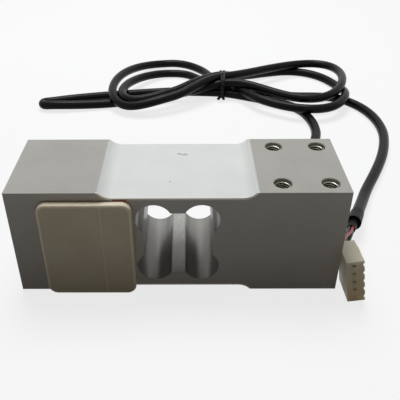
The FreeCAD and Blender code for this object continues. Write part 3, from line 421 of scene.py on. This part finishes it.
# Where the six strands cross the tie: how far behind its middle, how high, and how they slant there.
BOTTOM, TOP = 5.2, 11.4
SLOTS = {
    "front_low": (-7.0, BOTTOM, 0.0), "middle_low": (-0.3, BOTTOM, -0.2), "back_low": (6.3, BOTTOM, -0.2),
    "front_top": (-6.8, TOP - 0.6, -0.1), "middle_top": (-0.6, TOP, 0.3), "back_top": (5.9, TOP, 0.25),
}
# Each loop: reach along its axis, half width, the turn of its axis from +X in degrees, how far its
# widest part leans along the axis, how late it widens, how far its axis bows sideways, the heights
# along it as (share, height), and for a narrow one how blunt its tip is (less than 1 is blunter).
# Most of these sizes come from a least-squares fit and some were set one by one.
LOOPS = {
    "left_tail": (130.4, 7.0, 190.9, 0.0, 0.7, 0.0,
                  [(0, TOP - 0.6), (0.1, 9.0), (0.24, 3.4), (0.42, 6.5), (0.5, 5.6), (0.62, 3.0), (0.8, 3.0),
                   (1, BOTTOM)], 0.72),
    "right_upper": (89.1, 35.7, 5.7, 0.28, 1.8, -6.7,
                    [(0, TOP), (0.15, 9.8), (0.3, 7.5), (0.5, 9.3), (0.88, 9.3), (0.95, 13.8), (1, TOP)]),
    "left_outer": (76.4, 46.8, 162.6, -0.04, 0.84, 11.7,
                   [(0, TOP), (0.07, 15.5), (0.2, 9.3), (0.34, 5.0), (0.5, 9.3), (0.7, 3.0), (0.9, 3.0),
                    (1, BOTTOM)]),
    "right_lower": (86.2, 39.8, -2.5, -0.02, 0.78, -3.5,
                    [(0, TOP), (0.14, 5.0), (0.25, 3.0), (0.42, 3.6), (0.56, 9.0), (0.76, 8.8), (0.93, 8.6),
                     (1, BOTTOM)]),
    "left_inner": (64.0, 35.0, 158.5, -0.14, 1.7, 33.0,
                   [(0, TOP), (0.1, 15.0), (0.24, 9.3), (0.4, 8.0), (0.5, 8.5), (0.72, 4.5), (0.9, 3.5),
                    (1, BOTTOM)]),
}
# The cable's way through the hank: the slot that it enters a loop from, the loop, and whether it
# takes the loop the other way round.
TURNS = [
    ("front_low", "left_tail", True), ("front_top", "right_upper", True), ("middle_top", "left_outer", False),
    ("back_low", "right_lower", True), ("back_top", "left_inner", False), ("middle_low", None, False),
]


def eased(share, knots):
    """The height at a share of the loop, with a smooth rise or fall between the given ones."""
    for (start, low), (end, high) in zip(knots, knots[1:]):
        if share <= end:
            part = (share - start) / (end - start)
            return low + (high - low) * part * part * (3 - 2 * part)


def loop_line(reach, half, turn, lean, late, bow, heights, blunt=1.0):
    """A teardrop that starts and ends at the tie, as points in space."""
    peak = max(math.sin(a / 100) * math.sin(a / 200) ** late for a in range(315))
    turned = math.radians(turn)
    points = []
    for step in range(1, LOOP_STEPS):
        share = step / LOOP_STEPS
        angle = 2 * math.pi * share
        swing = math.copysign(abs(math.sin(angle)) ** blunt, math.sin(angle))
        across = half * swing * math.sin(angle / 2) ** late / peak
        along = reach * (1 - math.cos(angle)) / 2 + lean * across
        across += bow * (along / reach) ** 2
        points.append((TIE[0] + along * math.cos(turned) - across * math.sin(turned),
                       TIE[1] + along * math.sin(turned) + across * math.cos(turned), eased(share, heights)))
    return points


def hank_line():
    """The whole cable's control points, and how freely each may shift when the strands settle."""
    line = LEAD_IN + TO_TIE
    free = [0.0] * (len(LEAD_IN) - FREE_IN) + [1.0] * (FREE_IN + len(TO_TIE))
    side = 1
    for slot, loop, backwards in TURNS:
        back, rise, slant = SLOTS[slot]
        for along in (side * WAIST, 0.0, -side * WAIST):
            line.append((TIE[0] + along, TIE[1] + back + slant * along, rise))
            free.append(0.3 if along else 0.1)
        side = -side
        if loop is None:
            continue
        points = loop_line(*LOOPS[loop])
        if backwards:
            points.reverse()
        points = [point for point in points if math.hypot(point[0] - TIE[0], point[1] - TIE[1]) > LOOP_START]
        line += points
        free += [1.0] * len(points)
    line += FROM_TIE + LEAD_OUT
    free += [1.0] * (len(FROM_TIE) + FREE_OUT) + [0.0] * (len(LEAD_OUT) - FREE_OUT)
    return np.array(line), np.array(free)


def settle(line, free):
    """Let the strands of the hank push each other apart, sag to the table and stay smooth."""
    parts = 3  # pieces that each span is cut into where strands are compared
    touching = CABLE * 1.02
    own_span = 3.5  # control points no further apart than this are the same strand
    sideways, sag = 0.5, 0.03  # the share of a push that acts sideways, and the drop in each turn
    count = len(line)
    free = free[:, None]
    bundle = free * (np.hypot(line[:, 0] - TIE[0], line[:, 1] - TIE[1]) < BUNDLE)[:, None]
    for _ in range(10):
        line[1:-1] += ((line[:-2] + line[2:]) / 2 - line[1:-1]) * 0.5 * bundle[1:-1]
    start = line.copy()
    order = np.concatenate([np.arange(count - 1) + part / parts for part in range(parts)])
    others = np.abs(np.arange(count)[:, None] - order[None, :]) > own_span
    for _ in range(400):
        finer = np.concatenate([line[:-1] + (line[1:] - line[:-1]) * part / parts for part in range(parts)])
        gap = line[:, None, :] - finer[None, :, :]
        far = np.sqrt((gap**2).sum(2)) + 1e-9
        near = (far < touching) & others
        push = gap / far[:, :, None] * (touching - far)[:, :, None] * near[:, :, None]
        moved = push.sum(1) / np.maximum(near.sum(1), 1)[:, None]
        moved[:, :2] *= sideways
        moved[:, 2] -= sag
        shift = line - start + moved * free
        for _ in range(2):
            shift[1:-1] = shift[1:-1] * 0.5 + (shift[:-2] + shift[2:]) * 0.25
            shift *= np.where(free > 0, 1.0, 0.0)
        line = start + shift
        line[:, 2] = np.maximum(line[:, 2], CABLE / 2)
    return line


def cable():
    piece = cord_curve("cable", settle(*hank_line()), CABLE, MATERIALS["black_jacket"])
    return ride(piece, "black_jacket", "cable_lead_in", "cable_hank", "cable_lead_out")


def hank_tie():
    """A plastic-coated wire tie: twice round the bundle, twisted at the front, with two short ends."""
    wire, half_width, half_height, squareness = 2.0, 11.3, 7.2, 3.0
    steps, offset = 26, 0.22  # points in a turn, and the angle by which they start past the twist
    apart, lead = 1.25, 0.9  # half the gap of the two turns, and their way over to the twist
    twist_steps, twist_turn, twist_radius = 6, 2.2, 1.05
    middle_rise = (BOTTOM + TOP) / 2
    knot = (TIE[0] - 0.6, TIE[1] - half_width - 0.8, middle_rise - 1.6)
    twist = []
    for step in range(twist_steps):
        out, up = twist_radius * math.cos(twist_turn * step), twist_radius * math.sin(twist_turn * step)
        middle = (knot[0] - 0.6 + 0.13 * step, knot[1] - 0.9 + 0.2 * step, knot[2] - 2.2 + 0.44 * step)
        twist.append([(middle[0] + over * out, middle[1], middle[2] + over * up) for over in (1, -1)])
    points = [(knot[0] - 3.0, knot[1] - 1.2, 1.6), (knot[0] - 2.3, knot[1] - 1.2, 3.0)]
    points += [first for first, _ in twist]
    for step in range(1, 2 * steps):
        turned = 2 * math.pi * step / steps
        side, rise = math.cos(turned - offset), math.sin(turned - offset)
        scale = (abs(side) ** squareness + abs(rise) ** squareness) ** (-1 / squareness)
        spread = apart if step >= steps else -apart
        spread *= 0.45 + 0.55 * (1 - math.cos(turned)) / 2
        points.append((TIE[0] + 0.4 + spread - lead * (1 + math.cos(turned)) / 2,
                       TIE[1] - side * scale * half_width, middle_rise + rise * scale * half_height))
    points += [second for _, second in reversed(twist)]
    points += [(knot[0] + 0.9, knot[1] - 1.2, 3.0), (knot[0] + 1.2, knot[1] - 1.2, 1.6)]
    piece = cord_curve("twist_tie", points, wire, MATERIALS["black_tie"])
    return ride(piece, "black_tie", "hank_tie")


def thread_coil(node):
    """A wire thread insert: a helix of rhombic wire that fills the tapped hole of its node."""
    low, high = (np.array(corner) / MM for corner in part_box(node))
    middle, top = (low + high) / 2, high[2]
    pitch, steps, half_wire = 1.0, 40, 0.48  # with a hair between the wire and the end of the hole
    section = [(2.56, -0.07), (2.56, 0.07), (3.08, 0.43), (3.58, 0.08), (3.58, -0.08), (3.08, -0.43)]
    rings = int((top - low[2] - 2 * half_wire) / pitch * steps) + 1
    points = []
    for step in range(rings):
        angle = 2 * math.pi * step / steps
        rise = top - half_wire - pitch * step / steps
        for radius, over in section:
            points.append((middle[0] + radius * math.cos(angle), middle[1] - radius * math.sin(angle),
                           rise + over))
    faces = tube_faces(rings, len(section))
    faces += [tuple(range(len(section))), tuple(range(len(points) - len(section), len(points)))]
    piece = mesh_piece(node + "_coil", points, faces, MATERIALS["insert_steel"])
    return ride(piece, "insert_steel", node)


CABLE_PIECE = cable()
TIE_PIECE = hank_tie()
for end in ("load", "fixed"):
    for number in range(1, 5):
        thread_coil(f"{end}_insert_{number}")

# ---------------------------------------------------------------- stage, light and camera


def joined(tree, kind, *sources, **values):
    """A node with its inputs joined to sockets in turn, and others set by name; it gives its first output."""
    item = tree.nodes.new(kind)
    for source, target in zip(sources, item.inputs):
        tree.links.new(source, target)
    for name, value in values.items():
        item.inputs[name].default_value = value
    return item.outputs[0]


def larger(tree, first, second):
    socket = joined(tree, "ShaderNodeMath", first, second)
    socket.node.operation = "MAXIMUM"
    return socket


def by_ray(tree, for_light, for_show):
    """One shader for the rays that light the object, and one for those that show the background: the
    ones from the camera, and the ones off or through gloss."""
    path = tree.nodes.new("ShaderNodeLightPath").outputs
    shown = larger(tree, path["Is Camera Ray"], path["Is Glossy Ray"])
    shown = larger(tree, shown, path["Is Transmission Ray"])
    return joined(tree, "ShaderNodeMixShader", shown, for_light, for_show)


def floor_tone(tree):
    """How much light the floor gives back: little close in front of the object, where it stands in
    shade, and a little more behind it."""
    place = joined(tree, "ShaderNodeNewGeometry")
    parts = tree.nodes.new("ShaderNodeSeparateXYZ")
    tree.links.new(place, parts.inputs[0])
    shares = []
    for low, high, start, end in ((-0.20, -0.05, 1.0, 0.03), (0.0, 0.08, 0.0, 0.3)):
        item = tree.nodes.new("ShaderNodeMapRange")
        tree.links.new(parts.outputs["Y"], item.inputs["Value"])
        for key, number in (("From Min", low), ("From Max", high), ("To Min", start), ("To Max", end)):
            item.inputs[key].default_value = number
        shares.append(item.outputs["Result"])
    return larger(tree, *shares)


def floor():
    reach, drop = 4.0, -0.0001
    mesh = bpy.data.meshes.new("floor")
    mesh.from_pydata([(-reach, -reach, 0), (reach, -reach, 0), (reach, reach, 0), (-reach, reach, 0)], [],
                     [(0, 1, 2, 3)])
    piece = link("floor", mesh)
    piece.location.z = drop
    material = bpy.data.materials.new("floor")
    material.use_nodes = True
    tree = material.node_tree
    tree.nodes.clear()
    white = joined(tree, "ShaderNodeBsdfDiffuse", Color=(0.9, 0.9, 0.9, 1))
    glow = joined(tree, "ShaderNodeEmission", Color=(1, 1, 1, 1), Strength=1.0)
    shaded = tree.nodes.new("ShaderNodeMixShader")
    shaded.inputs[0].default_value = 0.78
    tree.links.new(white, shaded.inputs[1])
    tree.links.new(glow, shaded.inputs[2])
    dim = joined(tree, "ShaderNodeBsdfDiffuse", floor_tone(tree))
    chosen = by_ray(tree, dim, shaded.outputs[0])
    tree.links.new(chosen, tree.nodes.new("ShaderNodeOutputMaterial").inputs[0])
    mesh.materials.append(material)


def world():
    """A dim warm room, and plain white where the background shows."""
    around = bpy.data.worlds.new("world")
    bpy.context.scene.world = around
    around.use_nodes = True
    tree = around.node_tree
    tree.nodes.clear()
    room = joined(tree, "ShaderNodeBackground", Color=(1, 0.91, 0.80, 1), Strength=0.1)
    backdrop = joined(tree, "ShaderNodeBackground", Color=(1, 1, 1, 1), Strength=1.0)
    tree.links.new(by_ray(tree, room, backdrop), tree.nodes.new("ShaderNodeOutputWorld").inputs[0])


def sky():
    """The one lamp: a soft cool disc, high behind the object."""
    place, aim = Vector((0.0, 0.40, 0.95)), Vector((0.06, 0.05, 0.02))
    data = bpy.data.lights.new("sky", "AREA")
    data.shape = "DISK"
    data.size = 0.6
    data.energy = 8.5
    data.color = (0.95, 0.985, 1.0)
    piece = link("sky", data)
    piece.location = place
    piece.rotation_euler = (aim - place).to_track_quat("-Z", "Y").to_euler()


def camera():
    """The camera: how far it looks down and to the side, its roll, its place and the frame's shift."""
    down, aside, roll = (math.radians(angle) for angle in (34.19, -0.51, -0.43))
    place = (0.0551, -0.2041, 0.1705)
    ahead = Vector((math.sin(aside) * math.cos(down), math.cos(aside) * math.cos(down), -math.sin(down)))
    right = Vector((math.cos(aside), -math.sin(aside), 0))
    up = right.cross(ahead)
    tilted = right * math.cos(roll) + up * math.sin(roll)
    upright = up * math.cos(roll) - right * math.sin(roll)
    data = bpy.data.cameras.new("camera")
    data.sensor_width = 36.0
    data.lens = 50.88
    data.shift_x = 0.0424
    piece = link("camera", data)
    turned = Matrix((tilted, upright, -ahead)).transposed().to_4x4()
    piece.matrix_world = Matrix.Translation(place) @ turned
    bpy.context.scene.camera = piece


floor()
world()
camera()
sky()
bpy.context.scene.view_settings.view_transform = "Standard"

# ---------------------------------------------------------------- the parts that sit on the cable

ON_THE_CABLE = ["end_sleeve", "core_liner", "plug_housing"]
ON_THE_CABLE += [f"wire_{colour}" for colour in ("shield", "white", "green", "black", "red")]
ON_THE_CABLE += [f"crimp_terminal_{number}" for number in range(1, 6)]
